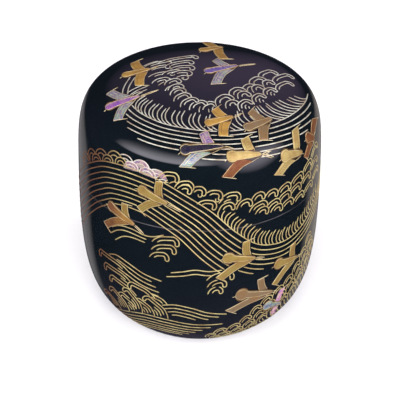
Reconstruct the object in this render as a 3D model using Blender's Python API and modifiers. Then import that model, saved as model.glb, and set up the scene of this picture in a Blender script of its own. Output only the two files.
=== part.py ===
"""Tea caddy of turned and lacquered wood: a domed lid that slips over the collar of a tapering body.

Both pieces are turned, so each is one closed half section swept round the vertical axis.
The origin is the centre of the base, on the plane that the caddy stands on, with +Z up. Units are metres.
Lid and body share one outer line, from the crown over the shoulder to the base, which the seam cuts in two.
"""

import math

import bpy
from mathutils import Vector

# Overall sizes
OVERALL_DIAMETER = 0.0660
OVERALL_HEIGHT = 0.0715
BASE_DIAMETER = 0.0402

# Outer line: the crown is a shallow arc, and the sides are widest a little above the seam
CROWN_DIAMETER = 0.0470
CROWN_RISE = 0.0031
WIDEST_HEIGHT = 0.0469
SHOULDER_REACH = 1.0  # share of the way from the crown's edge to the corner that the shoulder rounds
SHOULDER_HOLD = 0.75  # share of the way up from the widest place to that corner
SIDE_HOLD = 0.75  # share of the widest height over which the side keeps its width
BASE_SWELL = 0.0121  # length of the curve's handle at the base: a longer one makes a fuller bowl
BASE_SLOPE = math.radians(37)  # of the side above the table, where it meets the base

# Seam, and the collar of the body that the lid slips over
SEAM_HEIGHT = 0.0437
SEAM_GAP = 0.0003  # between the lid's rim and the body's ledge
COLLAR_CLEARANCE = 0.0003  # all round, between the collar and the lid
COLLAR_HEIGHT = 0.0100
COLLAR_WALL = 0.0018
COLLAR_HEADROOM = 0.0010  # of straight bore in the lid above the collar's top

# Walls
LID_WALL = 0.0022
CROWN_WALL = 0.0040
BODY_WALL = 0.0030
FLOOR_WALL = 0.0042
FLOOR_FLAT_DIAMETER = 0.0240

# Underside: a narrow ring to stand on, round a shallow recess
FOOT_RING_WIDTH = 0.0024
RECESS_DEPTH = 0.0008

EDGE_ROUND = 0.00015
SHARP_EDGE = math.radians(30)  # edges that turn more than this are rounded
TURNING_STEPS = 60  # facets round the axis

LACQUER_BLACK = (0.0042, 0.0045, 0.0062, 1.0)
LACQUER_ROUGHNESS = 0.08


def share(start, end, part):
    """The point that lies a share of the way from start to end."""
    return start + (end - start) * part


def bezier(points, t):
    """The point at t, from 0 to 1, of a cubic curve with two ends and two handles."""
    a, b, c, d = points
    s = 1 - t
    return a * s**3 + b * (3 * s * s * t) + c * (3 * s * t * t) + d * t**3


def along(points, steps, start=0.0, end=1.0):
    """Points of a cubic curve from t = start to t = end, both included."""
    return [bezier(points, start + (end - start) * i / steps) for i in range(steps + 1)]


def t_at_height(points, height):
    """Where a falling cubic curve passes a height."""
    low, high = 0.0, 1.0
    for _ in range(48):
        middle = (low + high) / 2
        if bezier(points, middle).y > height:
            low = middle
        else:
            high = middle
    return (low + high) / 2


def crown_curve_radius():
    """Radius of the shallow arc that rises by CROWN_RISE over CROWN_DIAMETER."""
    half = CROWN_DIAMETER / 2
    return (half**2 + CROWN_RISE**2) / (2 * CROWN_RISE)


def crown_point(radius, top):
    """A point of the crown's arc, for a crown whose middle is at height top."""
    curve = crown_curve_radius()
    return Vector((radius, top - curve + math.sqrt(curve**2 - radius**2)))


def crown_arc(edge_radius, top, steps):
    """The crown's arc from the axis to its edge."""
    return [crown_point(edge_radius * i / steps, top) for i in range(steps + 1)]


def shoulder_curve(crown_edge, side_foot):
    """The round between the crown's edge and the upright side, tangent to both."""
    slope = math.asin(crown_edge.x / crown_curve_radius())
    corner = Vector((side_foot.x, crown_edge.y - math.tan(slope) * (side_foot.x - crown_edge.x)))
    return (
        crown_edge,
        share(crown_edge, corner, SHOULDER_REACH),
        share(side_foot, corner, SHOULDER_HOLD),
        side_foot,
    )


def outer_shoulder():
    """Outer line from the crown's edge down to the widest place."""
    crown_edge = crown_point(CROWN_DIAMETER / 2, OVERALL_HEIGHT)
    return shoulder_curve(crown_edge, Vector((OVERALL_DIAMETER / 2, WIDEST_HEIGHT)))


def outer_side():
    """Outer line from the widest place down to the base."""
    widest = Vector((OVERALL_DIAMETER / 2, WIDEST_HEIGHT))
    base_edge = Vector((BASE_DIAMETER / 2, 0.0))
    return (
        widest,
        widest - Vector((0.0, WIDEST_HEIGHT * SIDE_HOLD)),
        base_edge + BASE_SWELL * Vector((math.cos(BASE_SLOPE), math.sin(BASE_SLOPE))),
        base_edge,
    )


def outer_radius_at(height):
    """Radius of the outer line at a height on the shoulder or the side."""
    line = outer_shoulder() if height > WIDEST_HEIGHT else outer_side()
    return bezier(line, t_at_height(line, height)).x


def lid_rim_height():
    return SEAM_HEIGHT + SEAM_GAP


def lid_bore_radius():
    return outer_radius_at(lid_rim_height()) - LID_WALL


def collar_radius():
    return lid_bore_radius() - COLLAR_CLEARANCE


def body_bore_radius():
    return collar_radius() - COLLAR_WALL


def lid_section():
    """Half section of the lid: down the outside, across the rim and up the inside."""
    rim = lid_rim_height()
    bore = lid_bore_radius()
    shoulder = outer_shoulder()
    side = outer_side()
    outside = crown_arc(CROWN_DIAMETER / 2, OVERALL_HEIGHT, 5)
    if rim < WIDEST_HEIGHT:
        outside += along(shoulder, 12)[1:]
        outside += along(side, 2, 0.0, t_at_height(side, rim))[1:]
    else:
        outside += along(shoulder, 12, 0.0, t_at_height(shoulder, rim))[1:]
    ceiling = OVERALL_HEIGHT - CROWN_WALL
    bore_top = SEAM_HEIGHT + COLLAR_HEIGHT + COLLAR_HEADROOM
    inner_edge = crown_point(CROWN_DIAMETER / 2 - LID_WALL, ceiling)
    inner_shoulder = along(shoulder_curve(inner_edge, Vector((bore, bore_top))), 7)
    inside = [Vector((bore, rim))] + inner_shoulder[::-1] + crown_arc(inner_edge.x, ceiling, 3)[-2::-1]
    return outside + inside


def body_section():
    """Half section of the body: up the inside, over the collar, down the outside and across the base."""
    bore = body_bore_radius()
    collar_top = SEAM_HEIGHT + COLLAR_HEIGHT
    side = outer_side()
    floor_edge = Vector((FLOOR_FLAT_DIAMETER / 2, FLOOR_WALL))
    bowl = (
        floor_edge,
        Vector((side[2].x - BODY_WALL, FLOOR_WALL)),
        Vector((bore, side[1].y + BODY_WALL)),
        Vector((bore, min(WIDEST_HEIGHT, SEAM_HEIGHT))),
    )
    inside = [Vector((0.0, FLOOR_WALL))] + along(bowl, 10)
    collar = [
        Vector((bore, collar_top)),
        Vector((collar_radius(), collar_top)),
        Vector((collar_radius(), SEAM_HEIGHT)),
    ]
    if SEAM_HEIGHT < WIDEST_HEIGHT:
        outside = along(side, 14, t_at_height(side, SEAM_HEIGHT), 1.0)
    else:
        shoulder = outer_shoulder()
        outside = along(shoulder, 2, t_at_height(shoulder, SEAM_HEIGHT), 1.0) + along(side, 14)[1:]
    recess_radius = BASE_DIAMETER / 2 - FOOT_RING_WIDTH
    underside = [
        Vector((recess_radius, 0.0)),
        Vector((recess_radius - RECESS_DEPTH, RECESS_DEPTH)),
        Vector((0.0, RECESS_DEPTH)),
    ]
    return inside + collar + outside + underside


def lacquer(name):
    """Black lacquer polished to a mirror gloss."""
    material = bpy.data.materials.new(name)
    material.use_nodes = True
    shader = material.node_tree.nodes["Principled BSDF"]
    shader.inputs["Base Color"].default_value = LACQUER_BLACK
    shader.inputs["Roughness"].default_value = LACQUER_ROUGHNESS
    shader.inputs["Metallic"].default_value = 0.0
    material.diffuse_color = LACQUER_BLACK
    return material


def turned(name, section, collection):
    """One object: the half section swept round the Z axis, with its sharp edges rounded."""
    mesh = bpy.data.meshes.new(name)
    rows = [(point.x, 0.0, point.y) for point in section]
    mesh.from_pydata(rows, [(i, i + 1) for i in range(len(rows) - 1)], [])
    mesh.materials.append(lacquer(name + "_lacquer"))
    piece = bpy.data.objects.new(name, mesh)
    collection.objects.link(piece)
    sweep = piece.modifiers.new("turned round the axis", "SCREW")
    sweep.axis = "Z"
    sweep.steps = TURNING_STEPS
    sweep.render_steps = TURNING_STEPS
    sweep.use_merge_vertices = True
    sweep.merge_threshold = 0.00001
    sweep.use_smooth_shade = True
    edges = piece.modifiers.new("rounded edges", "BEVEL")
    edges.width = EDGE_ROUND
    edges.segments = 1
    edges.limit_method = "ANGLE"
    edges.angle_limit = SHARP_EDGE
    edges.harden_normals = True
    return piece


def main():
    for old in list(bpy.data.objects):
        bpy.data.objects.remove(old, do_unlink=True)
    collection = bpy.data.collections.new("tea_caddy")
    bpy.context.scene.collection.children.link(collection)
    turned("body", body_section(), collection)
    turned("lid", lid_section(), collection)


main()
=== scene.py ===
"""Looks of the lacquer tea caddy: black lacquer, with a gold and shell picture of waves and flying birds.

The picture is drawn on two flat sheets, in millimetres, and each stroke is then laid on the caddy as a thin
domed ribbon. The crown sheet is the lid seen from above, unrolled from its middle: x to the right, y to the
back. The wall sheet is the side unrolled: x round the widest girth, from the front to the right, and y along
the wall, up from the seam. The waves and birds are the traditional kind, made by rules from a few points.
"""

import math
from functools import partial

import bmesh
import bpy
import numpy as np
from mathutils import Matrix, Vector


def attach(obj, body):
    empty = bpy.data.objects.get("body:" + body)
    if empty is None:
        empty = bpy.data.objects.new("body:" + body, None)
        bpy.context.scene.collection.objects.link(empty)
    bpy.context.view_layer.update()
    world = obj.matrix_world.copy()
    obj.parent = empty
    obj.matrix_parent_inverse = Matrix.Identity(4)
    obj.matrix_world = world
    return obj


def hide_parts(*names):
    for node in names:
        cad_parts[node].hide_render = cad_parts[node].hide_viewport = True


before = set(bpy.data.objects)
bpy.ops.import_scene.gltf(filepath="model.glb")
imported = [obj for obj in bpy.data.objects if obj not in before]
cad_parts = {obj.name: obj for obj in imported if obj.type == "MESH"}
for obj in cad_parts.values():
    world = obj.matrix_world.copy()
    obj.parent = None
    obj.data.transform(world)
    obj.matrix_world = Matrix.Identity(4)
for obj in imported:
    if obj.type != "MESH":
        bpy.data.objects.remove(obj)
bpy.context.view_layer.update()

MM = 0.001

# Outer line of the turned wood, in millimetres, as the CAD has it
WIDEST_RADIUS = 33.0
OVERALL_HEIGHT = 71.5
BASE_RADIUS = 20.1
CROWN_RADIUS = 23.5
CROWN_RISE = 3.1
WIDEST_HEIGHT = 46.9
SHOULDER_HOLD = 0.75
SIDE_HOLD = 0.75
BASE_SWELL = 12.1
BASE_SLOPE = math.radians(37)
SEAM_HEIGHT = 43.7
GIRTH = 2 * math.pi * WIDEST_RADIUS
CROWN_CURVE = (CROWN_RADIUS**2 + CROWN_RISE**2) / (2 * CROWN_RISE)  # radius of the crown's shallow arc

# Strokes
LINE = 0.35  # width of a drawn line
FOAM_LINE = LINE * 0.95  # width of the shorter lines in and round the foam
QUILL = 0.18  # width of the fine lines in a wing or body
SAMPLE = 0.30  # between the points of a stroke
CLOSE = SAMPLE * 0.8  # between the points of a stroke with tight bends
LINE_RELIEF = 0.06
SHORTEST = 7  # points of the shortest stretch that is left of a stroke where others hide it


# The turned outline

def bezier(a, b, c, d, steps):
    """Points of a cubic curve with ends a and d and handles b and c."""
    t = np.linspace(0, 1, steps)[:, None]
    s = 1 - t
    return a * s**3 + b * 3 * s * s * t + c * 3 * s * t * t + d * t**3


def crown_arc(radii, top):
    """The crown's arc, for a crown whose middle is at height top."""
    return np.stack([radii, top - CROWN_CURVE + np.sqrt(CROWN_CURVE**2 - radii**2)], -1)


def shoulder_corner(edge, side):
    """Where the crown's slope at its edge would meet the upright side."""
    fall = edge[0] / math.sqrt(CROWN_CURVE**2 - edge[0] ** 2)
    return np.array([side, edge[1] - fall * (side - edge[0])])


# The widest place, the base's edge, and the handle there of the side's curve
WIDEST = np.array([WIDEST_RADIUS, WIDEST_HEIGHT])
BASE = np.array([BASE_RADIUS, 0.0])
BASE_HANDLE = BASE + BASE_SWELL * np.array([math.cos(BASE_SLOPE), math.sin(BASE_SLOPE)])


def outer_line(steps=600):
    """Radius and height from the middle of the crown down to the edge of the base."""
    crown = crown_arc(np.linspace(0, CROWN_RADIUS, steps), OVERALL_HEIGHT)
    corner = shoulder_corner(crown[-1], WIDEST_RADIUS)
    shoulder = bezier(crown[-1], corner, WIDEST + (corner - WIDEST) * SHOULDER_HOLD, WIDEST, steps)
    side = bezier(WIDEST, WIDEST - [0, WIDEST_HEIGHT * SIDE_HOLD], BASE_HANDLE, BASE, steps)
    return np.concatenate([crown, shoulder[1:], side[1:]])


OUTER = outer_line()
ALONG = np.concatenate([[0.0], np.cumsum(np.hypot(*np.diff(OUTER, axis=0).T))])
SEAM_ALONG = np.interp(-SEAM_HEIGHT, -OUTER[:, 1], ALONG)


def outer_at(distance):
    """Radius and height at a distance along the outer line from the crown's middle."""
    return [np.interp(distance, ALONG, values) for values in OUTER.T]


def turned_point(distance, turn):
    """The point at a distance along the outer line, turned from the front."""
    radius, height = outer_at(distance)
    return np.stack([radius * np.sin(turn), -radius * np.cos(turn), height], -1)


def on_wall(flat):
    """Points of the caddy, in millimetres, for points of the wall sheet."""
    return turned_point(SEAM_ALONG - flat[..., 1], flat[..., 0] / WIDEST_RADIUS)


def on_crown(flat):
    """Points of the caddy, in millimetres, for points of the crown sheet."""
    return turned_point(np.hypot(flat[..., 0], flat[..., 1]), np.arctan2(flat[..., 0], -flat[..., 1]))


# Flat curves

def even(points, step=SAMPLE):
    """The same polyline with points at even distances."""
    points = np.asarray(points, float)
    gone = np.concatenate([[0.0], np.cumsum(np.hypot(*np.diff(points, axis=0).T))])
    count = max(3, int(round(gone[-1] / step)) + 1)
    at = np.linspace(0, gone[-1], count)
    return np.stack([np.interp(at, gone, values) for values in points.T], -1)


def smooth(points, step=SAMPLE):
    """A smooth line through a few guide points."""
    p = np.asarray(points, float)
    p = np.concatenate([[2 * p[0] - p[1]], p, [2 * p[-1] - p[-2]]])
    t = np.linspace(0, 1, 17)[:-1, None]
    runs = []
    for a, b, c, d in zip(p, p[1:], p[2:], p[3:]):
        runs.append(0.5 * (2 * b + (c - a) * t + (2 * a - 5 * b + 4 * c - d) * t**2
                           + (3 * b - a - 3 * c + d) * t**3))
    return even(np.concatenate(runs + [p[-2:-1]]), step)


def directions(line):
    """Unit directions along a line, and those to its left."""
    ahead = np.gradient(line, axis=0)
    ahead /= np.maximum(np.hypot(ahead[:, 0], ahead[:, 1]), 1e-9)[:, None]
    return ahead, np.stack([-ahead[:, 1], ahead[:, 0]], -1)


def beside(line, distance):
    """A line's neighbour at a distance to its left."""
    return line + directions(line)[1] * np.reshape(distance, (-1, 1))


def part(line, start, end):
    """The stretch of a line between two shares of its length."""
    last = len(line) - 1
    return line[max(0, int(round(start * last))):int(round(end * last)) + 1]


def at(line, share):
    """The point, and the directions ahead and to the left, at a share of a line."""
    i = int(np.clip(round(share * (len(line) - 1)), 0, len(line) - 1))
    ahead, left = directions(line)
    return line[i], ahead[i], left[i]


def along(values, share):
    """A value that changes evenly through a list of values."""
    values = np.atleast_1d(values)
    return float(np.interp(share, np.linspace(0, 1, len(values)), values))


def inside(points, outline):
    """Which points lie in a closed outline."""
    x, y = points[:, 0], points[:, 1]
    hit = np.zeros(len(points), bool)
    for (x0, y0), (x1, y1) in zip(outline, np.roll(outline, -1, axis=0)):
        if y0 != y1:
            crosses = (y0 > y) != (y1 > y)
            hit ^= crosses & (x < (x1 - x0) * (y - y0) / (y1 - y0) + x0)
    return hit


class Sheet:
    """Strokes on a flat sheet. What is drawn later lies in front."""

    def __init__(self, lay):
        self.lay = lay
        self.strokes = []

    def draw(self, line, width=LINE, tone="line", relief=LINE_RELIEF, slant=0.0):
        """Adds a stroke. slant is how far its left side runs ahead, as a share of half its width."""
        width, slant = (np.broadcast_to(np.asarray(v, float), (len(line),)) for v in (width, slant))
        self.strokes.append(dict(lay=self.lay, line=line, width=width, slant=slant, tone=tone, relief=relief))

    def hide(self, outline):
        """Takes away what was drawn inside an outline."""
        low, high = outline.min(0), outline.max(0)
        kept = []
        for stroke in self.strokes:
            line = stroke["line"]
            if (line.max(0) < low).any() or (line.min(0) > high).any():
                kept.append(stroke)
                continue
            seen = ~inside(line, outline)
            edges = np.flatnonzero(np.diff(np.concatenate([[0], seen, [0]])))
            for first, last in edges.reshape(-1, 2):
                if last - first >= min(SHORTEST, len(line)):
                    rest = {key: stroke[key][first:last] for key in ("line", "width", "slant")}
                    kept.append(dict(stroke, **rest))
        self.strokes = kept


# Waves

def bundle(sheet, guide, pitch, ends):
    """Lines side by side, to the right of a guide. ends gives the stretch of each as shares."""
    for i, (start, end) in enumerate(ends):
        sheet.draw(part(beside(guide, -pitch * i), start, end))


def comb(sheet, guide, spacing, length, lean):
    """Short bowed strokes that leave a guide to its left, leaning back along it."""
    count = int(SAMPLE * (len(guide) - 1) / spacing)
    for i in range(count):
        share = (i + 0.5) / count
        foot, ahead, left = at(guide, share)
        reach = along(length, share) * (1 + 0.08 * math.sin(2.4 * i))
        angle = math.radians(along(lean, share))
        tip = (left * math.cos(angle) - ahead * math.sin(angle)) * reach
        bow = (-ahead * math.cos(angle) - left * math.sin(angle)) * reach * 0.20
        line = smooth([foot, foot + tip * 0.30 + bow * 0.85, foot + tip * 0.65 + bow * 0.9, foot + tip])
        sheet.draw(line, FOAM_LINE)


def finger(sheet, root, tip, height, band, inner):
    """One hooked finger of foam: a double line that bends over into a round end, with an arc beneath it."""
    long = np.hypot(*(tip - root))
    on = (tip - root) / long
    hand = -math.copysign(1.0, height)
    up = np.array([on[1], -on[0]]) * hand
    high = abs(height)
    turn = min(high, 0.40 * long, 1.8 * band)
    bend = root + on * (long - turn) + up * (high - turn)
    hook = [bend + (on * math.sin(a) + up * math.cos(a)) * turn for a in np.linspace(0.2, 1.9, 6)]
    rise = [root + on * long * forth + up * high * over
            for forth, over in ((0.0, 0.0), (0.15, 0.53), (0.38, 0.91))]
    outer = smooth(rise + hook, CLOSE)
    ahead, left = directions(outer)
    inward, forward = left[-1] * hand, ahead[-1]
    centre = outer[-1] + inward * band / 2
    knob = [centre - inward * band / 2 * math.cos(a) + forward * band * 0.5 * math.sin(a)
            for a in np.linspace(0, math.pi, 7)[1:-1]]
    under = beside(outer, hand * band)[::-1]
    sheet.hide(np.concatenate([outer, knob]))
    sheet.draw(even(np.concatenate([outer, knob, part(under, 0.04, 0.88)]), CLOSE))
    if high > 2.3 * band and long > 4.5 * band:
        for i in range(inner):
            sheet.draw(part(beside(outer, hand * band * (i + 2)), 0.06, 0.52 - 0.06 * i), FOAM_LINE)


def scale(sheet, root, tip, height, band, inner, tone="line", filled=""):
    """One round scale of foam, like a horseshoe, with arcs inside."""
    reach = tip - root
    wide = np.hypot(*reach)
    side = np.array([-reach[1], reach[0]]) / wide * height
    turns = np.linspace(-0.35, math.pi + 0.35, 13)
    arch = [root + reach * (0.5 - 0.53 * math.cos(a)) + side * (0.26 + 0.74 * math.sin(a)) for a in turns]
    outer = smooth(arch, CLOSE)
    sheet.hide(outer)
    if filled:
        middle = even([root + reach * 0.5, root + reach * 0.5 + side * 0.97])
        rise = np.linspace(0, 1, len(middle))
        sheet.draw(middle, wide * np.sqrt(1.04 - rise**2.6), filled, 0.02)
    sheet.draw(outer, tone=tone)
    for i in range(inner):
        inset = band * (i + 1)
        if inset < 0.38 * wide:
            sheet.draw(part(beside(outer, -math.copysign(inset, height)), 0.05, 0.95), FOAM_LINE, tone)


pearly_scale = partial(scale, tone="white", filled="pearl")


def row(sheet, roots, tips, heights, band=1.0, inner=1, kind=finger, move=(0.0, 0.0)):
    """A row of foam. Each piece reaches from its root to its tip, and lies in front of the next."""
    pairs = list(zip(np.array(roots, float) + move, np.array(tips, float) + move))
    for i, (root, tip) in reversed(list(enumerate(pairs))):
        kind(sheet, root, tip, along(heights, i / max(1, len(pairs) - 1)), band, inner)


# Birds

# Tones of the fine lines in a wing or body. The other birds have pale ones
QUILL_TONES = {"gold": "quill", "bright": "quill", "ochre": "quill", "rose": "quill", "red": "umber",
               "rust": "umber", "outline": "outline"}
STREAKED_TONES = ("ochre", "rust", "rose")  # wings with lines along them and no barbs
# How far the parts of a bird stand proud
RELIEF = {"streak": 0.07, "beak": 0.08, "tip": 0.10, "wing": 0.13, "barb": 0.16, "vane": 0.17,
          "edge": 0.18, "body": 0.20, "stripe": 0.21, "cheek": 0.23}
BORDER = LINE * 0.42  # width of the rim on a broad stroke
DARK_BORDER = LINE * 0.70
BORDER_PLACE = 0.93  # as a share of half the stroke's width


def across(line, width, slant, place):
    """The line that runs at a place, from -1 to 1, across a broad stroke."""
    ahead, left = directions(line)
    reach = np.reshape(width * place / 2, (-1, 1))
    return line + left * reach + ahead * reach * np.reshape(slant, (-1, 1))


def broad_stroke(sheet, line, width, tone, relief, slant=0.0):
    """A broad stroke that covers what lies behind it, with a bright rim on both sides."""
    rim = [across(line, width + 0.16, slant, place) for place in (1, -1)]
    sheet.hide(np.concatenate([rim[0], rim[1][::-1]]))
    sheet.draw(line, width, tone, relief, slant)
    border = DARK_BORDER if tone == "outline" else BORDER
    for place in (BORDER_PLACE, -BORDER_PLACE):
        sheet.draw(across(line, width, slant, place), border, "rim", relief * 0.95)


def slant_for(cut, ahead):
    """The slant that lays a stroke's end along a cut."""
    left = np.array([-ahead[1], ahead[0]])
    return float(np.clip(cut @ ahead / (cut @ left), -1.3, 1.3))


def wing(sheet, root, corner, tail_ward, broad, bend, tone):
    """One wing: a bar to its leading corner, cut slantwise, with barbs and a fine line beyond its tip."""
    aim = (corner - root) / np.hypot(*(corner - root))
    cut = tail_ward + aim * 0.40
    cut /= np.hypot(*cut)
    tip = corner + cut * broad * 0.46
    length = np.hypot(*(tip - root))
    ahead = (tip - root) / length
    side = np.array([-ahead[1], ahead[0]])
    line = smooth([root, (root + tip) / 2 + side * bend * length, tip], CLOSE)
    last = directions(line)[0][-1]
    slant = np.linspace(slant_for(tail_ward, ahead), slant_for(cut, last), len(line))
    width = np.interp(np.linspace(0, 1, len(line)), [0, 0.25, 1], [0.86 * broad, broad, 0.92 * broad])
    broad_stroke(sheet, line, width, tone, RELIEF["wing"], slant)
    front = -math.copysign(1.0, side @ tail_ward)
    fine = QUILL_TONES.get(tone, "rim")
    vanes = [(0.40, 0.10, 0.92)]
    barbs = int(length / 0.75)
    if tone in STREAKED_TONES:
        vanes += [(-0.08, 0.14, 0.96), (-0.52, 0.14, 0.96)]
        barbs = 0
    for place, start, end in vanes:
        sheet.draw(part(across(line, width, slant, place * front), start, end), QUILL, fine, RELIEF["vane"])
    for i in range(1, barbs):
        share = i / barbs
        inner = at(across(line, width, slant, 0.30 * front), min(share + 0.05, 1.0))[0]
        outer = at(across(line, width, slant, -0.74 * front), max(share - 0.02, 0.0))[0]
        sheet.draw(even([inner, outer], SAMPLE * 1.3), QUILL * 0.9, fine, RELIEF["barb"])
    near, far = (across(line, width, slant, place)[-1] for place in (0.95 * front, -front))
    sheet.draw(even([near, far, far + cut * 1.5]), LINE * 0.55, "rim", RELIEF["tip"])


def bird(sheet, nose, tail, upper, lower, tones, *streaks, ball=2.9, bar=0.85, broad=2.8, joint=0.24):
    """A small flying bird, from its nose, its tail and the leading corners of its wings.

    tones are those of its body and wings, and streaks the ends of the lines behind it. ball is the breast's
    width, bar the back's as a share of it, broad a wing's, and joint where the wings leave the back."""
    body_tone, upper_tone, lower_tone = (tones,) * 3 if isinstance(tones, str) else tones
    nose, tail, upper, lower = (np.array(point, float) for point in (nose, tail, upper, lower))
    length = np.hypot(*(nose - tail))
    ahead = (nose - tail) / length
    above = np.array([ahead[1], -ahead[0]])
    if above @ (upper - lower) < 0:
        above = -above
    root = tail + ahead * length * joint
    for end in streaks:
        first = [tail - ahead * 0.2, (tail + end) / 2 + above * 0.15, end]
        second = [tail - ahead * 0.1 - above * 0.45, (tail + end) / 2 - above * 0.35,
                  end - above * 0.3 + ahead * 0.6]
        for line, share in ((first, 0.75), (second, 0.60)):
            sheet.draw(smooth(line), LINE * share, "rim", RELIEF["streak"])
    bend = math.copysign(0.06, ahead[0] * (upper - root)[1] - ahead[1] * (upper - root)[0])
    wing(sheet, root + ahead * 0.05 * length + above * ball * 0.05, upper, -ahead, broad, -bend, upper_tone)
    wing(sheet, root - above * ball * 0.10, lower, -ahead, broad, bend, lower_tone)
    spine = smooth([tail, tail + ahead * length * 0.5 - above * 0.10, nose], SAMPLE * 0.7)
    left_over = np.linspace(length, 0, len(spine))
    shares = 1 - left_over / length
    width = np.interp(shares, [0, 0.10, 0.34, 0.70], [0.14, 0.46, 0.80, 1.0]) * bar * ball
    radius = ball / 2
    in_ball = np.sqrt(np.clip(radius**2 - (left_over - radius) ** 2, 0.01, None)) * 2
    width = np.where(left_over < radius, in_ball, np.maximum(width, in_ball))
    for place in (1, -1):
        sheet.draw(across(spine, width + 0.5, 0, place), LINE * 0.5, "quill", RELIEF["edge"])
    broad_stroke(sheet, spine, width, body_tone, RELIEF["body"])
    fine = QUILL_TONES.get(body_tone, "rim")
    centre = nose - ahead * radius
    turns = np.linspace(-0.3, math.pi * 0.85, 12)
    cheek = [centre + (ahead * math.cos(a) * 0.62 + above * math.sin(a) * 0.62) * radius for a in turns]
    sheet.draw(even(cheek), QUILL, fine, RELIEF["cheek"])
    for place in (-0.35, 0.35):
        sheet.draw(part(across(spine, width, 0, place), 0.06, 0.62), QUILL * 0.9, fine, RELIEF["stripe"])
    beak = nose - ahead * 0.15 - above * radius * 0.35
    sheet.draw(even([beak, beak + ahead * 0.9 - above * 0.5]), LINE * 0.6, "rim", RELIEF["beak"])


# The picture on the crown

def draw_crown():
    sheet = Sheet(on_crown)
    bowl = smooth([(-17.6, 3.2), (-19.4, -3), (-18.9, -9), (-16, -14.6), (-10.6, -19.4), (-4.6, -22),
                   (2.5, -23.2), (9.5, -22.4), (16.5, -19.4), (22.5, -14.8), (26.6, -9.2), (29, -3.4),
                   (29.9, 1.5)])
    ends = [(0, 1), (0, 0.955), (0.205, 0.91), (0.23, 0.885), (0.25, 0.845), (0.30, 0.80), (0.46, 0.76)]
    bundle(sheet, bowl, 1.45, ends)
    comb(sheet, part(bowl, 0.14, 0.56), 1.55, [4.6, 6.4, 7, 6.8, 6], [36, 33, 28, 20, 16])
    comb(sheet, part(bowl, 0.575, 0.975), 1.70, [6, 7.4, 7.8, 7, 4], [10, 14, 18, 24, 34])
    for line in ([(-19.7, -4.8), (-17.2, -3), (-13.8, -1.5)], [(-18.8, -6), (-16.6, -4.2), (-14, -2.9)],
                 [(-17.4, -7), (-16, -5.6), (-14.2, -4.5)], [(-15.5, 9), (-13.6, 10.4), (-11.5, 11.2)],
                 [(-16.2, 7.6), (-14.6, 9), (-12.4, 9.8)]):
        sheet.draw(smooth(line))
    foam = partial(row, sheet)
    foam([(-15.2, 8.4), (-14.6, 5.6), (-14, 1.8), (-13, -1.8), (-11.2, -3.2), (-9.4, -6.2)],
         [(-6.8, 10.2), (-8.2, 6.8), (-6.8, 2.6), (-8, -0.7), (-5.2, -3), (-5, -5.4)], [1.5, 1.7, 2], 1.25)
    foam([(-10.4, 2.2), (-9.6, -3.4), (-8.6, -6)], [(-5, 3.2), (-5.2, -1.4), (-4.4, -4.4)], [1.8, 1.9], 1.2)
    foam([(-11.5, 9.8), (-9.6, 7.2), (-8.2, 5.2), (-7.8, 2.6), (-6.4, 0.2)],
         [(-0.6, 12.6), (-1.8, 9), (-1.5, 5.2), (-2.2, 1.9), (-3.6, -1.2)], [1.6, 1.8, 1.9], 1.25)
    foam([(-8, -8.4), (-7, -11.2), (-5.2, -13.8), (-2.8, -15.2), (-0.2, -16), (2.4, -16)],
         [(-3.8, -6.4), (-2.4, -8.8), (-0.4, -10.9), (2, -12.2), (4.6, -12.6), (7, -12.2)], [2, 2.3])
    foam([(4.4, -13.4), (8.2, -9.4), (12, -6.6), (13.6, -2.6), (15.8, 2.6)],
         [(8.8, -8.8), (12.2, -4.8), (15.6, -2.2), (17.6, 2.6), (20.8, 8)], [2.6, 2.6, 2], 1.25)
    foam([(7, -14), (10.2, -9.4), (14.4, -5.6), (17.2, -1.6), (19.6, 1.6)],
         [(10.6, -11.4), (13.8, -6.8), (17.4, -2.2), (20.2, 1.4), (25.4, 8)], [2.4, 2.4, 1.9], 1.2)
    foam([(10.6, -14.6), (14.6, -11), (17.6, -6.8), (20.6, -3)],
         [(14.4, -10.4), (18, -6.6), (21, -2.6), (25.6, 3)], [2.7, 2.7, 2.3], 1, 2)
    draw_crown_birds(sheet)
    return sheet


def draw_crown_birds(sheet):
    fly = partial(bird, sheet)
    fly((-0.2, 17.6), (6.2, 22), (0.6, 28.2), (5.2, 11.6), "gold")
    fly((1.2, 3), (10.2, 8.2), (3.2, 9.9), (2.9, -3.5), ("violet", "silver", "silver"), (15.2, 11))
    fly((-21.4, 5), (-13.6, 6.4), (-19.2, 12.1), (-17.6, -1.8), "gold", (-10.8, 8.2))
    fly((-25.6, -9.8), (-16.2, -7.4), (-25.6, -3.4), (-23.4, -15.8), ("magenta", "silver", "silver"),
        (-11, -5.4))
    fly((1.4, -20.6), (8.9, -17.2), (3, -15.5), (5, -24.8), "gold", (11.4, -15.4), ball=2.5)
    fly((11.9, -21.4), (19.2, -15.8), (12.8, -15.2), (16, -24.4), "rose", ball=2.7)
    fly((-5.2, -29.4), (6.4, -28), (-0.1, -24.4), (-5.4, -33.8), ("outline", "mauve", "green"), (9.4, -28.4),
        ball=3, bar=0.75)
    fly((7.4, -30.9), (17.2, -28), (11, -25.4), (7, -36.3), ("bright", "bright", "red"), (20, -26.2),
        (21.3, -27.4), ball=3.2, bar=0.72)
    fly((23.7, -26.4), (31.6, -20.6), (25.4, -17.6), (24.3, -31.6), "bright", (33.2, -19.6), ball=3.5,
        bar=0.7)
    fly((30.7, -16.4), (35.4, -12.4), (32.4, -8), (33.4, -20.8), "red", ball=3)


# The picture on the wall

BACK = np.array([97.0, -2.0])  # from the great wave at the front to the one at the back
SPRAY = np.array([104.0, 0.0])  # from the lower waves at the front to those at the back
START = -60.0  # where the lines that go all the way round begin and end
WAVE_PITCH = 1.5  # between the lines of the great wave
WAVE_LINES = 9
ROUND_LINES = 4  # of them, which go all the way round
RIBS = 30  # on the surge's flank
LOWEST = -46.6  # where the ribs end, close to the base
CREST_SCALES = 11  # in each row of the surge's foam


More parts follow.
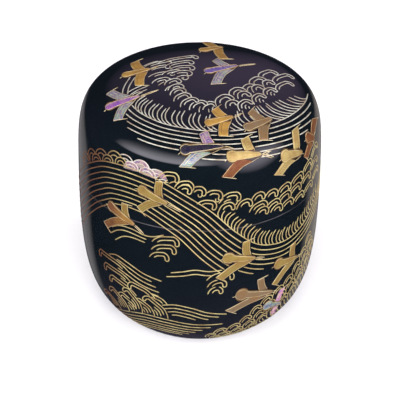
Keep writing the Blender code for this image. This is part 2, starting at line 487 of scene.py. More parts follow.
def great_wave(sheet):
    """The band of lines that rises and falls twice on its way round the caddy."""
    front = np.array([(-40, 6.8), (-35, 10.6), (-29.5, 13.8), (-23, 15.4), (-17, 15.6), (-11, 14.5),
                      (-4.5, 11.4), (3, 6.2), (10, -1.2), (16, -6.3), (22, -8.5), (28, -8.9),
                      (35, -7), (42, -2.8)])
    back = front + BACK
    turn = np.array([GIRTH, 0])
    link = [(-54, -5.6), (-47, 0.2)]
    whole = (back[-5:] - turn, link, front, [(49, 1.2)], back, link + turn, front[:4] + turn)
    guide = smooth(np.concatenate(whole))
    for i in range(1, WAVE_LINES):
        line = beside(guide, -WAVE_PITCH * i)
        if i < ROUND_LINES:
            stretches = [(START, START + GIRTH)]
        else:
            stretches = [(-72.0 + 2 * i, 36.0 - 3.4 * i), (40.0 + 2 * i, 36.0 - 3.4 * i + BACK[0])]
        for start, end in stretches:
            sheet.draw(line[(line[:, 0] >= start) & (line[:, 0] <= end)])
    return guide


def great_foam(sheet, guide, move):
    """Comb strokes and foam that lie on the great wave."""
    foam = partial(row, sheet, move=move)
    hollow = guide[(guide[:, 0] > 4.6 + move[0]) & (guide[:, 0] < 43.0 + move[0])]
    comb(sheet, hollow, 1.28, [3.8, 4.3, 4.3, 4, 3.6], [26, 15, 4, -6, -16])
    foam([(-24.4, 14.6), (-19.2, 15.2), (-14.4, 14.8)], [(-18.6, 15.4), (-13.8, 15.2), (-8.8, 13.6)],
         [3.7, 3.5, 3], kind=pearly_scale)
    foam([(-39.8, 6.8), (-36.4, 9.8), (-32.6, 12.2), (-27.6, 14.2)],
         [(-35.8, 9.8), (-32, 12.2), (-27.4, 14), (-22.4, 15.4)], [3.6, 3.8, 3.6], 1.1, 2, scale)
    foam([(-21.8, 15), (-16.6, 15.2), (-11.8, 14.2)], [(-17.2, 15.3), (-12.2, 14.6), (-7.6, 12.8)],
         [2.3, 2.2], 0.9, 1, pearly_scale)
    foam([(-34.2, 11.2), (-29.4, 13.6), (-24.6, 15)], [(-30.6, 13.2), (-25.6, 14.8), (-21, 15.6)], [2.1, 2.2],
         0.9, 1, scale)
    foam([(-9.4, 13.9), (-4.6, 11.6), (0.4, 10), (5.2, 8.4)],
         [(-3.6, 13.6), (0.8, 11.4), (5.4, 9.8), (10.2, 8.4)], [2, 1.9])
    foam([(-11.2, 15.2), (-6.6, 13), (-2.6, 12), (1.4, 11.2), (6, 10)],
         [(-5.4, 15), (-1.4, 13.2), (1.8, 11.6), (6.2, 10.2), (11.2, 9.4)], [2.2, 2, 1.8])
    foam([(10, 5.9), (14, 7.2), (18, 7), (22.2, 6.8), (27, 7.6), (32.4, 8.4), (37, 10.4)],
         [(14.6, 6.8), (18.4, 8), (22.6, 7.4), (27.4, 7.8), (33, 8.4), (38, 10.2), (42.6, 13)], [2.2, 2, 1.8])
    foam([(-5.8, 12.8), (-0.6, 8.4), (5.2, 6)], [(-2, 12), (4.6, 7.4), (9.6, 7)], [1.7, 1.9])
    foam([(13.6, 4.2), (18.4, 3.2), (22.4, 4.4), (26.6, 4.8), (31.4, 5.4), (36.4, 6.8)],
         [(19.2, 5.2), (23.6, 4.4), (27.6, 5.2), (32, 5.6), (37.2, 6.4), (42.4, 8.8)], [2, 1.8])
    foam([(15.4, 3.2), (20.2, 2.2), (23.6, 2), (28.2, 1.4), (33, 1.8), (38, 3)],
         [(19.6, 3.2), (24.4, 2.4), (28.6, 2.6), (33.6, 2.4), (38.6, 3), (43.4, 5.2)], [1.7, 1.7], 1, 0)


def swells(sheet, move):
    """Two low swells in the open water, each running out in stacked fingers."""
    foam = partial(row, sheet, move=move)
    for line in ([(-26.4, -5.4), (-23, -3.4), (-19, -2.9), (-15, -3.6), (-12.4, -3.4), (-9.4, -2.2)],
                 [(-26.6, -7.4), (-23.4, -5), (-20, -4.2), (-14.4, -4.8)],
                 [(-24.8, -8.8), (-21.8, -6.4), (-18.6, -5.6), (-14.8, -5.9)],
                 [(-7.6, -14.1), (-4, -13.3), (-0.8, -12.6), (2.8, -13.1), (6.4, -12.9)],
                 [(-8.8, -15.6), (-4.4, -14.8), (-1, -14), (2, -14.4), (5.6, -14.6)]):
        sheet.draw(smooth(np.array(line) + move))
    foam([(-12.8, -5), (-13, -7.6), (-13.6, -10.2)], [(-5.2, -4.2), (-6, -6.8), (-8, -9.4)], [2, 1.8], 1.1, 0)
    foam([(2.2, -16), (2.4, -18.4), (2.6, -20.8)], [(9.8, -15.4), (7.8, -17.6), (6.8, -19.8)],
         [2, 1.8], 1.1, 0)


def breaker(sheet, move):
    """The wave at the lower left: lines sweeping down from a curling crest, on a swell at the base."""
    foam = partial(row, sheet, move=move)

    def put(*points):
        return smooth(np.array(points) + move)

    base = put((-40, -41.5), (-34, -38.6), (-30, -36.6), (-26, -34.8), (-20, -32.4), (-15.5, -31.5),
               (-9, -31.7), (-1, -32.7), (7.6, -32.9))
    ends = [(0, 1), (0, 0.93), (0, 0.88), (0.02, 0.84), (0.04, 0.80), (0.05, 0.76)]
    bundle(sheet, base, 1.45, ends)
    side = put((-10.5, -26), (-6.5, -25.2), (-1.8, -26), (2.8, -27.7), (8.4, -28.8))
    bundle(sheet, side, 1.3, [(0, 1), (0.02, 0.90), (0.05, 0.76), (0.10, 0.60)])
    top = put((-27.6, -14.8), (-24.4, -13.7), (-20, -14.7), (-15.4, -16.4), (-10.2, -17.5))
    bundle(sheet, top, 1.4, [(0, 1), (0.16, 0.86), (0.18, 0.94), (0.20, 1), (0.26, 1), (0.34, 0.98)])
    foam([(-20.6, -17.4), (-20, -20.8), (-18.4, -25.2)], [(-32.4, -16.7), (-30.4, -20.2), (-28.4, -23.2)],
         [-1.7, -1.9], 1.05)
    foam([(-12.4, -24), (-8.8, -25.6)], [(-21.2, -22.6), (-15.2, -24.4)], [-2.2, -1.9], 1.1, 2)
    foam([(-18, -31.8), (-13.2, -31.2), (-9, -31.2)], [(-25.8, -28.2), (-19.8, -27.8), (-16.8, -25.6)],
         [-2.8, -3], 1.05, 2)
    foam([(-27, -35), (-22.6, -33.4), (-17.4, -31.6)], [(-34, -31.6), (-30, -28), (-23.8, -25)], [-2.8, -3],
         1.05, 2)


def surge(sheet, move):
    """The wave at the lower right: a foaming crest that climbs from the base, and its ribbed flank."""
    foot = smooth(np.array([(6, -39), (12, -37.4), (18, -33.4), (25, -29.4), (32, -24.6),
                            (36.5, -20.4), (41, -16)]) + move)
    for i in range(RIBS):
        share = (i + 0.5) / RIBS
        start = at(foot, share)[0]
        fall = along([7, 9.5, 13, 14, 12], share)
        rib = smooth([start, start + [fall * 0.30, -fall * 0.52], start + [fall * 0.95, -fall * 0.92]])
        sheet.draw(rib[rib[:, 1] > LOWEST], FOAM_LINE)
    crest = smooth(np.array([(2.6, -43), (6, -38.6), (11, -36.8), (15.2, -33.6), (19, -29.6),
                             (24.6, -27.2), (30, -24.2), (34.4, -19.6), (39, -14.6)]) + move)
    spots = [at(crest, (i + 0.5) / CREST_SCALES) for i in range(CREST_SCALES)]
    for shift, size in (((0.6, 0.9), 4.6), ((2.4, -1.6), 4.4), ((4.4, -4), 4.2)):
        roots = [spot + shift - ahead * size * 0.5 for spot, ahead, left in spots]
        tips = [spot + shift + ahead * size * 0.5 for spot, ahead, left in spots]
        row(sheet, roots, tips, [1.8, 1.8], 0.95)


def draw_wall():
    sheet = Sheet(on_wall)
    guide = great_wave(sheet)
    great_foam(sheet, guide, np.zeros(2))
    great_foam(sheet, guide, BACK)
    sheet.draw(guide[(guide[:, 0] >= START) & (guide[:, 0] <= START + GIRTH)])
    for move in (np.zeros(2), SPRAY):
        swells(sheet, move)
        breaker(sheet, move)
        surge(sheet, move)
    draw_wall_birds(sheet)
    return sheet


def draw_wall_birds(sheet):
    fly = partial(bird, sheet, joint=0.20, broad=2.3)
    fly((-16.8, 10.8), (-8.4, 7.8), (-11.8, 14), (-17.2, 4.8), "ochre", (-4.2, 5.8), bar=0.8, joint=0.22)
    fly((-27.2, 1.9), (-18, -1.2), (-22.2, 4.2), (-29.2, -4.9), ("rust", "ochre", "rust"), (-15.2, -3.2),
        bar=0.8, joint=0.22)
    fly((6.5, -8.8), (15.9, -10.8), (12, -4.9), (4.7, -15.2), "ochre", (18.8, -11.6), ball=3.3, bar=0.6)
    fly((22.4, -15.4), (31.8, -17.2), (28.4, -12), (22.1, -22), "ochre", (34.4, -17.8), ball=3.3, bar=0.6)
    fly((10.6, -21.9), (22.8, -24.8), (16.9, -18.7), (8, -27.4), "rose", (24.8, -25.8), ball=3.8, bar=0.55)
    fly((20.4, -29.2), (28.4, -32), (26, -25.8), (26, -36), ("green", "pink", "pink"), ball=3.4, bar=0.6,
        joint=0.24, broad=2.2)
    fly((78.6, 3.4), (88.2, 1.2), (84.4, 7.6), (77.8, -2.6), "ochre", (91.6, 0), bar=0.8, joint=0.22)
    fly((106.4, -14.8), (116, -17), (112, -10.8), (104.8, -21), "ochre", (119, -18), ball=3.3, bar=0.6)
    fly((118, -24), (128.6, -26), (124, -20), (115.4, -28.6), "rose", (131.4, -27), ball=3.4, bar=0.55)


# Meshes

# Cross sections: across, as a share of half the width, and up, as a share of the relief
THIN = np.array([(-1, 0), (-0.60, 0.78), (0, 1), (0.60, 0.78), (1, 0)])
BROAD = np.array([(-1, 0), (-0.94, 0.62), (-0.74, 0.84), (-0.38, 0.96), (0, 1), (0.38, 0.96),
                  (0.74, 0.84), (0.94, 0.62), (1, 0)])
BROAD_FROM = 1.0  # width from which a stroke has the broad section
END_HEIGHT = 0.25  # share of its height that a stroke keeps at its ends
END_WIDTH = 0.35  # of its width, towards which a thin stroke narrows there
SUNK = 0.02  # how far a stroke's edges lie under the lacquer's surface
SEAM_SHOWN = 0.06  # gap that shows between lid and body

# Tones of the gold and the shell, as linear base colours
GOLD_TONES = {
    "line": (0.56, 0.47, 0.215),
    "cream": (0.66, 0.65, 0.56),
    "white": (0.66, 0.62, 0.57),
    "rust": (0.15, 0.045, 0.026),
    "gold": (0.50, 0.29, 0.065),
    "bright": (0.44, 0.335, 0.125),
    "ochre": (0.33, 0.24, 0.065),
    "red": (0.17, 0.050, 0.018),
    "rose": (0.225, 0.16, 0.095),
    "quill": (0.15, 0.08, 0.03),
    "umber": (0.045, 0.018, 0.01),
    "rim": (0.74, 0.62, 0.37),
}
LINE_TONES = ("line", "white")
SHELL_TONES = {
    "violet": (0.085, 0.065, 0.15),
    "magenta": (0.17, 0.07, 0.19),
    "silver": (0.125, 0.13, 0.135),
    "mauve": (0.17, 0.115, 0.15),
    "pearl": (0.18, 0.13, 0.125),
    "outline": (0.012, 0.011, 0.017),
    "pink": (0.34, 0.17, 0.22),
    "green": (0.11, 0.14, 0.13),
}
# Where tones change on the wall: the x at which that begins, and over how far
RUST_RIGHT, RUST_LEFT, GOLDEN_FROM = (-22.0, 9.0), (-59.0, 8.0), (-26.0, 6.0)


def unit(vectors):
    return vectors / np.maximum(np.linalg.norm(vectors, axis=-1, keepdims=True), 1e-9)


def surface(lay, flat):
    """Points of the caddy for points of a sheet, with both directions of the sheet there, and outwards."""
    step = 0.05
    here = lay(flat)
    along_x = (lay(flat + [step, 0.0]) - here) / step
    along_y = (lay(flat + [0.0, step]) - here) / step
    return here, along_x, along_y, unit(np.cross(along_x, along_y))


def flat_aside(along_x, along_y, aside):
    """The step on the sheet that is one millimetre aside on the caddy."""
    xx, xy, yy = (along_x**2).sum(-1), (along_x * along_y).sum(-1), (along_y**2).sum(-1)
    to_x, to_y = (along_x * aside).sum(-1), (along_y * aside).sum(-1)
    area = xx * yy - xy * xy
    return np.stack([(yy * to_x - xy * to_y) / area, (xx * to_y - xy * to_x) / area], -1)


def ribbon(stroke):
    """Rings of points, in millimetres, of the domed ribbon that a stroke makes on the caddy."""
    lay, line, width = stroke["lay"], stroke["line"], stroke["width"]
    broad = width.max() > BROAD_FROM
    here, along_x, along_y, out = surface(lay, line)
    aside = np.cross(out, unit(np.gradient(here, axis=0)))
    sideways = flat_aside(along_x, along_y, aside) + directions(line)[0] * stroke["slant"][:, None]
    ease = np.ones(len(line))
    ease[[0, -1]] = END_HEIGHT
    ease[[1, -2]] = np.maximum(ease[[1, -2]] * 0.8, END_HEIGHT)
    narrow = np.ones(len(line)) if broad else END_WIDTH + (1 - END_WIDTH) * ease
    rings = []
    for place, rise in (BROAD if broad else THIN):
        shift = sideways * (width * narrow / 2 * place)[:, None]
        spot, up = lay(line + shift), out
        if broad:
            up = surface(lay, line + shift)[3]
        lift = stroke["relief"] * rise * ease - (SUNK if rise == 0 else 0.0)
        rings.append(spot + up * lift[:, None])
    return np.stack(rings, 1)


def fade(edge, x, hand=1):
    """From 0 to 1 beyond an edge on the wall, to its right or left."""
    return np.clip((x - edge[0]) * hand / edge[1], 0, 1)


def tone_colours(stroke):
    """The base colour at each point of a stroke.

    The crown's lines are paler, and those of the wall turn rust-red at its left. The rust-red bird there
    turns to gold towards its tail."""
    lay, tone = stroke["lay"], stroke["tone"]
    if lay is on_crown and tone == "line":
        tone = "cream"
    colour = np.tile(np.array((GOLD_TONES | SHELL_TONES)[tone]), (len(stroke["line"]), 1))
    x = stroke["line"][:, 0]
    if lay is on_wall and tone == "line":
        share = fade(RUST_RIGHT, x, -1) * fade(RUST_LEFT, x) * 0.95
        colour += (np.array(GOLD_TONES["rust"]) - colour) * share[:, None]
    if tone == "rust":
        share = fade(GOLDEN_FROM, x) * 0.75
        colour += (np.array(GOLD_TONES["gold"]) - colour) * share[:, None]
    return colour


def quads(number):
    """The faces between closed rings of numbered points."""
    turned_on = np.roll(number, -1, axis=1)
    return np.stack([number[:-1], number[1:], turned_on[1:], turned_on[:-1]], -1).reshape(-1, 4).tolist()


def strokes_mesh(name, strokes):
    """One mesh of closed ribbons, with the strokes' tones as a colour attribute."""
    points, faces, colours, count = [], [], [], 0
    for stroke in strokes:
        rings = ribbon(stroke)
        long, wide, _ = rings.shape
        points.append(rings.reshape(-1, 3) * MM)
        colours.append(np.repeat(tone_colours(stroke), wide, axis=0))
        number = count + np.arange(long * wide).reshape(long, wide)
        faces += quads(number) + [number[0].tolist(), number[-1, ::-1].tolist()]
        count += long * wide
    mesh = bpy.data.meshes.new(name)
    mesh.from_pydata(np.concatenate(points).tolist(), [], faces)
    mesh.shade_smooth()
    layer = mesh.color_attributes.new("tone", "FLOAT_COLOR", "POINT")
    flat = np.concatenate([np.concatenate(colours), np.ones((count, 1))], axis=1)
    layer.data.foreach_set("color", flat.ravel())
    return mesh


def add_cut(mesh, crossing, keep_upper):
    """Adds to a mesh what some strokes have above or below the seam, and closes their cut ends."""
    whole = strokes_mesh("cut", crossing)
    height = (SEAM_HEIGHT + SEAM_SHOWN * keep_upper) * MM
    work = bmesh.new()
    work.from_mesh(whole)
    cut = bmesh.ops.bisect_plane(work, geom=work.verts[:] + work.edges[:] + work.faces[:], dist=1e-7,
                                 plane_co=(0, 0, height), plane_no=(0, 0, 1),
                                 clear_inner=keep_upper, clear_outer=not keep_upper)
    edges = [item for item in cut["geom_cut"] if isinstance(item, bmesh.types.BMEdge)]
    bmesh.ops.holes_fill(work, edges=edges, sides=0)
    work.to_mesh(whole)
    work.clear()
    work.from_mesh(mesh)
    work.from_mesh(whole)
    work.to_mesh(mesh)
    work.free()
    bpy.data.meshes.remove(whole)
    mesh.shade_smooth()


def placed(name, data):
    """A new object in the scene."""
    piece = bpy.data.objects.new(name, data)
    bpy.context.scene.collection.objects.link(piece)
    return piece


def show(name, mesh, material, slot, *nodes):
    """Adds a piece that rides with the caddy, and stands for CAD nodes if any are given."""
    mesh.materials.append(material)
    piece = placed(name, mesh)
    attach(piece, "root")
    if nodes:
        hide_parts(*nodes)


def picture_pieces(sheets, name, tones, material, slot):
    """The strokes with some tones, as one piece on the lid and one on the body."""
    lid, body, crossing = [], [], []
    for stroke in (stroke for sheet in sheets for stroke in sheet.strokes if stroke["tone"] in tones):
        heights = ribbon(stroke)[..., 2]
        if heights.min() > SEAM_HEIGHT + SEAM_SHOWN:
            lid.append(stroke)
        elif heights.max() < SEAM_HEIGHT:
            body.append(stroke)
        else:
            crossing.append(stroke)
    for part_name, own, upper in (("lid", lid, True), ("body", body, False)):
        mesh = strokes_mesh(part_name + "_" + name, own)
        if crossing:
            add_cut(mesh, crossing, upper)
        show(part_name + "_" + name, mesh, material, slot)


# Turned pieces

LID_WALL = 2.2
CROWN_WALL = 4.0
BODY_WALL = 3.0
FLOOR_WALL = 4.2
FLOOR_FLAT_RADIUS = 12.0
COLLAR_CLEARANCE = 0.3
COLLAR_HEIGHT = 10.0
COLLAR_WALL = 1.8
COLLAR_HEADROOM = 1.0
FOOT_RING_WIDTH = 2.4
RECESS_DEPTH = 0.8
EDGE_ROUND = 0.12
SEAM_ROUND = 0.05
CORNER = math.radians(25)  # the least turn of a section that counts as a corner
# Points along the sections, and round the axis
OUTSIDE_STEPS = 90
CEILING_STEPS = 24
BOWL_STEPS = 36
TURNING_STEPS = 256


def radius_at(height):
    """Radius of the outer line at a height below the crown's edge."""
    return float(np.interp(-height, -OUTER[:, 1], OUTER[:, 0]))


def outer_stretch(top, bottom):
    """Points of the outer line between two heights, from the top down."""
    start, end = np.interp([-top, -bottom], -OUTER[:, 1], ALONG)
    return np.stack(outer_at(np.linspace(start, end, OUTSIDE_STEPS)), -1)


def softened(points, seam):
    """The same section, with a small arc at each sharp corner. seam is where the smallest ones belong."""
    size = np.full(len(points), EDGE_ROUND)
    size[seam] = SEAM_ROUND
    kept = [points[0]]
    for before, here, after, reach in zip(points, points[1:], points[2:], size[1:]):
        back, on = unit(before - here), unit(after - here)
        if back @ on < -math.cos(CORNER):
            kept.append(here)
            continue
        arc = [here + back * reach * (1 - t) ** 2 + on * reach * t**2 for t in np.linspace(0, 1, 6)]
        kept += [here + back * reach * 2.2, *arc, here + on * reach * 2.2]
    return np.array(kept + [points[-1]])


def lid_section():
    rim = SEAM_HEIGHT + SEAM_SHOWN
    bore = radius_at(SEAM_HEIGHT) - LID_WALL
    outside = outer_stretch(OVERALL_HEIGHT, rim)
    outside[0, 0] = 0.0
    arc = crown_arc(np.linspace(CROWN_RADIUS - LID_WALL, 0, CEILING_STEPS), OVERALL_HEIGHT - CROWN_WALL)
    corner = shoulder_corner(arc[0], bore)
    foot = np.array([bore, SEAM_HEIGHT + COLLAR_HEIGHT + COLLAR_HEADROOM])
    shoulder = bezier(foot, foot + (corner - foot) * SHOULDER_HOLD, corner, arc[0], CEILING_STEPS)
    return softened(np.concatenate([outside, [[bore, rim]], shoulder, arc[1:]]), slice(len(outside)))


def body_section():
    collar = radius_at(SEAM_HEIGHT) - LID_WALL - COLLAR_CLEARANCE
    bore = collar - COLLAR_WALL
    top = SEAM_HEIGHT + COLLAR_HEIGHT
    curve = np.array([(FLOOR_FLAT_RADIUS, FLOOR_WALL), (BASE_HANDLE[0] - BODY_WALL, FLOOR_WALL),
                      (bore, WIDEST_HEIGHT * (1 - SIDE_HOLD) + BODY_WALL), (bore, SEAM_HEIGHT)])
    bowl = bezier(*curve, BOWL_STEPS)
    outside = outer_stretch(SEAM_HEIGHT, 0.0)
    outside[-1] = BASE
    recess = BASE_RADIUS - FOOT_RING_WIDTH
    section = np.concatenate([
        [[0.0, FLOOR_WALL]], bowl, [[bore, top], [collar, top], [collar, SEAM_HEIGHT]], outside,
        [[recess, 0.0], [recess - RECESS_DEPTH, RECESS_DEPTH], [0.0, RECESS_DEPTH]]])
    return softened(section, len(bowl) + 4)


def turned_mesh(name, section):
    """A closed half section, which starts and ends on the axis, swept round it."""
    steps = TURNING_STEPS
    turns = np.linspace(0, 2 * math.pi, steps, endpoint=False)
    rows = section[1:-1]
    rings = np.stack([rows[:, :1] * np.sin(turns), -rows[:, :1] * np.cos(turns),
                      np.repeat(rows[:, 1:], steps, axis=1)], -1)
    first = len(rows) * steps
    number = np.arange(first).reshape(len(rows), steps)
    start = np.stack([np.full(steps, first), number[0], np.roll(number[0], -1)], -1)
    end = np.stack([np.full(steps, first + 1), np.roll(number[-1], -1), number[-1]], -1)
    points = np.concatenate([rings.reshape(-1, 3), [[0, 0, section[0, 1]], [0, 0, section[-1, 1]]]]) * MM
    mesh = bpy.data.meshes.new(name)
    mesh.from_pydata(points.tolist(), [], quads(number) + start.tolist() + end.tolist())
    mesh.shade_smooth()
    return mesh


# Materials

MIX_A, MIX_B, MIX_RESULT = 6, 7, 2  # numbers of the mix node's colour sockets


class Graph:
    """The nodes of a material or of the world."""

    def __init__(self, owner):
        owner.use_nodes = True
        self.nodes, self.links = owner.node_tree.nodes, owner.node_tree.links

    def feed(self, node, inputs):
        """Sets a node's inputs, by name or number, to values, or links them to outputs."""
        for key, value in inputs.items():
            if isinstance(value, bpy.types.NodeSocket):
                self.links.new(value, node.inputs[key])
            else:
                node.inputs[key].default_value = value
        return node.outputs

    def place(self, kind="Object"):
        """The coordinates of the point that is shaded."""
        return self.nodes.new("ShaderNodeTexCoord").outputs[kind]

    def noise(self, scale, detail=3.0, roughness=0.5):
        """Noise in the part's own coordinates, with scale per metre."""
        return self.feed(self.nodes.new("ShaderNodeTexNoise"), {
            "Vector": self.place(), "Scale": scale, "Detail": detail, "Roughness": roughness})["Fac"]

    def spread(self, value, low, high, to_low, to_high):
        """Maps a range of values to another range."""
        return self.feed(self.nodes.new("ShaderNodeMapRange"), {
            "Value": value, "From Min": low, "From Max": high, "To Min": to_low, "To Max": to_high})["Result"]

    def mixed(self, share, a, b, kind="MIX"):
        """Two colours mixed. Each is a socket or a colour."""
        mix = self.nodes.new("ShaderNodeMix")
        mix.data_type, mix.blend_type = "RGBA", kind
        return self.feed(mix, {"Factor": share, MIX_A: a, MIX_B: b})[MIX_RESULT]

    def worked(self, operation, *values):
        """The result of a sum on one or two values."""
        step = self.nodes.new("ShaderNodeMath")
        step.operation = operation
        return self.feed(step, dict(enumerate(values)))["Value"]

    def bump(self, height, strength, distance):
        """The surface's direction, disturbed by a height."""
        return self.feed(self.nodes.new("ShaderNodeBump"), {
            "Height": height, "Strength": strength, "Distance": distance})["Normal"]

    def tone(self):
        """The colour attribute that the strokes carry."""
        node = self.nodes.new("ShaderNodeVertexColor")
        node.layer_name = "tone"
        return node.outputs["Color"]


def near_seam(graph):
    """From 0 to 1 as the height comes within about a tenth of a millimetre of the seam."""
    split = graph.feed(graph.nodes.new("ShaderNodeSeparateXYZ"), {"Vector": graph.place()})
    gap = graph.worked("SUBTRACT", split["Z"], (SEAM_HEIGHT + SEAM_SHOWN / 2) * MM)
    return graph.spread(graph.worked("ABSOLUTE", gap), 0.10 * MM, 0.16 * MM, 1.0, 0.0)


def new_material(name):
    material = bpy.data.materials.new(name)
    graph = Graph(material)
    return material, graph, graph.nodes["Principled BSDF"]


# Pairs of colours that run into each other
BLACKS = (0.0021, 0.0039, 0.0052, 1.0), (0.0033, 0.0047, 0.0072, 1.0)
GRAINS = (0.62, 0.62, 0.60, 1.0), (1.22, 1.21, 1.16, 1.0)
STREAKS = (0.45, 0.45, 0.45, 1.0), (1.5, 1.5, 1.5, 1.0)
PAPERS = (0.88, 0.88, 0.87, 1.0), (0.92, 0.92, 0.91, 1.0)
# Pale grey along the seam: a painted highlight of the seam's edges, made patchy like wear
SEAM_HIGHLIGHT_AND_WEAR = (0.075, 0.07, 0.075, 1.0)
WORN_GOLD = (0.26, 0.13, 0.04, 1.0)
PEARLS = (0.34, (0.35, 0.42, 0.95, 1.0)), (0.5, (1.0, 0.78, 0.92, 1.0)), (0.66, (0.55, 1.0, 0.72, 1.0))


def lacquer_material(name):
    """Black lacquer with a mirror gloss, faintly waved and hazy, and paler along the seam: a painted
    highlight there, patchy like wear.
    """
    material, graph, shader = new_material(name)
    cloud = graph.noise(45.0, 4.0, 0.6)
    haze = graph.noise(160.0, 5.0, 0.65)
    black = graph.mixed(graph.spread(cloud, 0.35, 0.7, 0.0, 1.0), *BLACKS)
    # Share of the painted seam highlight, broken up by the cloud noise like wear
    wear_and_sheen = graph.worked("MULTIPLY", near_seam(graph), graph.spread(cloud, 0.40, 0.62, 0.15, 1.0))
    graph.feed(shader, {
        "Base Color": graph.mixed(wear_and_sheen, black, SEAM_HIGHLIGHT_AND_WEAR),
        "Roughness": graph.spread(haze, 0.35, 0.75, 0.035, 0.085),
        "IOR": 1.54,
        "Normal": graph.bump(graph.noise(90.0, 1.0), 0.05, 0.0004)})
    return material


def gold_material(name):
    """Sprinkled gold powder: fine mottled grains, burnished to a soft satin."""
    material, graph, shader = new_material(name)
    grain = graph.noise(5200.0, 2.0, 0.7)
    patch = graph.noise(420.0, 3.0, 0.6)
    wear_and_sheen = graph.mixed(graph.spread(patch, 0.40, 0.68, 0.0, 0.65), graph.tone(), WORN_GOLD)
    graph.feed(shader, {
        "Base Color": graph.mixed(1.0, wear_and_sheen, graph.mixed(grain, *GRAINS), "MULTIPLY"),
        "Roughness": graph.spread(grain, 0.3, 0.7, 0.36, 0.56),
        "Metallic": 0.45,
        "Normal": graph.bump(grain, 0.25, 0.00005)})
    return material


def shell_material(name):
    """Thin mother-of-pearl under clear lacquer: patches that run from violet through pink to green."""
    material, graph, shader = new_material(name)
    patch = graph.noise(750.0, 3.0, 0.65)
    streak = graph.noise(2600.0, 2.0)
    ramp = graph.nodes.new("ShaderNodeValToRGB")
    ramp.color_ramp.elements.new(0.5)
    for stop, (place, colour) in zip(ramp.color_ramp.elements, PEARLS):
        stop.position, stop.color = place, colour
    pearly = graph.mixed(0.85, graph.tone(), graph.feed(ramp, {"Fac": patch})["Color"], "SOFT_LIGHT")
    graph.feed(shader, {
        "Base Color": graph.mixed(1.0, pearly, graph.mixed(streak, *STREAKS), "MULTIPLY"),
        "Roughness": graph.spread(patch, 0.3, 0.7, 0.18, 0.36),
        "Metallic": 0.25,
        "Coat Weight": 0.3,
        "Coat Roughness": 0.05,
        "Normal": graph.bump(patch, 0.2, 0.0001)})
    return material


lacquer = lacquer_material("lacquer_black")
gold = gold_material("gold_sprinkled")
shell = shell_material("shell_pearl")

show("lid_lacquer", turned_mesh("lid_lacquer", lid_section()), lacquer, "black_lacquer", "lid")
show("body_lacquer", turned_mesh("body_lacquer", body_section()), lacquer, "black_lacquer", "body")
sheets = [draw_crown(), draw_wall()]
picture_pieces(sheets, "gold_lines", LINE_TONES, gold, "gold_powder")
picture_pieces(sheets, "gold_birds", tuple(t for t in GOLD_TONES if t not in LINE_TONES), gold, "gold_powder")
picture_pieces(sheets, "shell_birds", tuple(SHELL_TONES), shell, "shell_inlay")


# Floor, light and camera

def floor():
    mesh = bpy.data.meshes.new("floor")
    half = 3.0
    corners = [(-half, -half, 0), (half, -half, 0), (half, half, 0), (-half, half, 0)]
    mesh.from_pydata(corners, [], [(0, 1, 2, 3)])
    material, graph, shader = new_material("pale_paper")
    graph.feed(shader, {
        "Base Color": graph.mixed(graph.noise(900.0, 4.0), *PAPERS),
        "Roughness": 0.9,
        "Specular IOR Level": 0.1})
    mesh.materials.append(material)
    piece = placed("floor", mesh)
    piece.visible_glossy = False


def from_direction(azimuth, elevation, distance=1):
    """A place, seen from the caddy. Azimuth 0 is the front and 90 the right."""
    a, e = math.radians(azimuth), math.radians(elevation)
    return Vector((math.sin(a) * math.cos(e), -math.cos(a) * math.cos(e), math.sin(e))) * distance


LAMP_AIM = Vector((0, 0, 0.036))


def lamp(name, azimuth, elevation, distance, width, height, power, colour=(1, 1, 1)):
    """A soft light that the lacquer doesn't mirror."""
    data = bpy.data.lights.new(name, "AREA")
    data.shape = "RECTANGLE"
    data.size, data.size_y = width, height
    data.energy, data.color = power, colour
    light = placed(name, data)
    light.location = LAMP_AIM + from_direction(azimuth, elevation, distance)
    light.rotation_euler = (light.location - LAMP_AIM).to_track_quat("Z", "Y").to_euler()
    light.visible_glossy = False


# The lights of the room that the lacquer mirrors, as linear colours
ROOM_DARK = (0.014, 0.018, 0.026, 1.0)
SOFTBOX = (4.4, 4.2, 4.7, 1.0)
UP, DOWN = Vector((0, 0, 1)), Vector((0, 0, -1))
# Where the others are, the cosines between which they fade in, and their colours
GLOWS = (
    (DOWN, 0.60, 0.90, (0.10, 0.085, 0.125, 1.0)),
    (from_direction(170, 35), 0.85, 1.0, (0.38, 0.26, 0.46, 1.0)),
    (from_direction(-148, -28), 0.95, 0.985, (0.38, 0.36, 0.37, 1.0)),
    (from_direction(146, -28), 0.93, 0.975, (0.50, 0.45, 0.42, 1.0)),
    (from_direction(52, 22), 0.82, 0.97, (2.9, 2.65, 3.1, 1.0)),
)


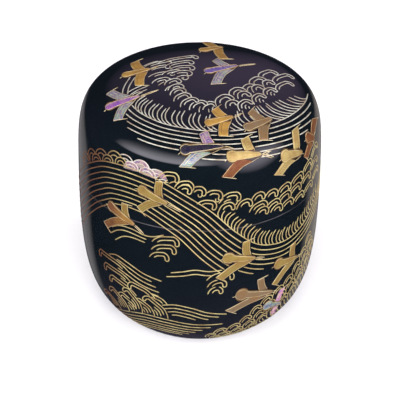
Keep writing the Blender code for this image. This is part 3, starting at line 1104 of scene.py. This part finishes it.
def facing(graph, towards, low, high):
    """From 0 to 1 as a direction of the room comes to face another one, between two cosines."""
    product = graph.nodes.new("ShaderNodeVectorMath")
    product.operation = "DOT_PRODUCT"
    cosine = graph.feed(product, {0: graph.place("Generated"), 1: towards})["Value"]
    return graph.spread(cosine, low, high, 0.0, 1.0)


def room():
    """The studio: dark, with a soft light at the left, a smaller one at the right and faint glows behind."""
    world = bpy.data.worlds.new("studio")
    bpy.context.scene.world = world
    graph = Graph(world)
    colour = ROOM_DARK
    for towards, low, high, bright in GLOWS:
        colour = graph.mixed(facing(graph, towards, low, high), colour, bright)
    band = graph.worked("MULTIPLY", facing(graph, UP, 0.31, 0.37), facing(graph, DOWN, -0.86, -0.50))
    softbox = graph.worked("MULTIPLY", facing(graph, from_direction(-34, 24), 0.62, 0.92), band)
    graph.feed(graph.nodes["Background"], {"Color": graph.mixed(softbox, colour, SOFTBOX), "Strength": 1.0})


ELEVATION = math.radians(32.36)
DISTANCE = 0.792
ROLL = math.radians(0.527)
TARGET = Vector((0.00023, 0.0, 0.03255))
FOCAL_OVER_WIDTH = 2875.8 / 400


def camera():
    data = bpy.data.cameras.new("camera")
    data.sensor_width = 36.0
    data.lens = FOCAL_OVER_WIDTH * data.sensor_width
    data.clip_start, data.clip_end = 0.05, 20.0
    back = Vector((0, -math.cos(ELEVATION), math.sin(ELEVATION)))
    right = Vector((1, 0, 0))
    turn = Matrix((right, back.cross(right), back)).transposed().to_4x4()
    view = placed("camera", data)
    view.matrix_world = Matrix.Translation(TARGET + back * DISTANCE) @ turn @ Matrix.Rotation(ROLL, 4, "Z")
    bpy.context.scene.camera = view


floor()
room()
lamp("soft_front", 5, 26, 1.2, 0.8, 0.4, 16.0)
lamp("soft_left", -75, 25, 1.0, 0.3, 0.8, 4.0)
lamp("soft_right", 75, 25, 1.0, 0.3, 0.8, 4.0)
lamp("soft_top", 0, 80, 1.3, 1.0, 1.0, 8.0, (1.0, 1.0, 0.95))
camera()
bpy.context.scene.view_settings.view_transform = "Standard"
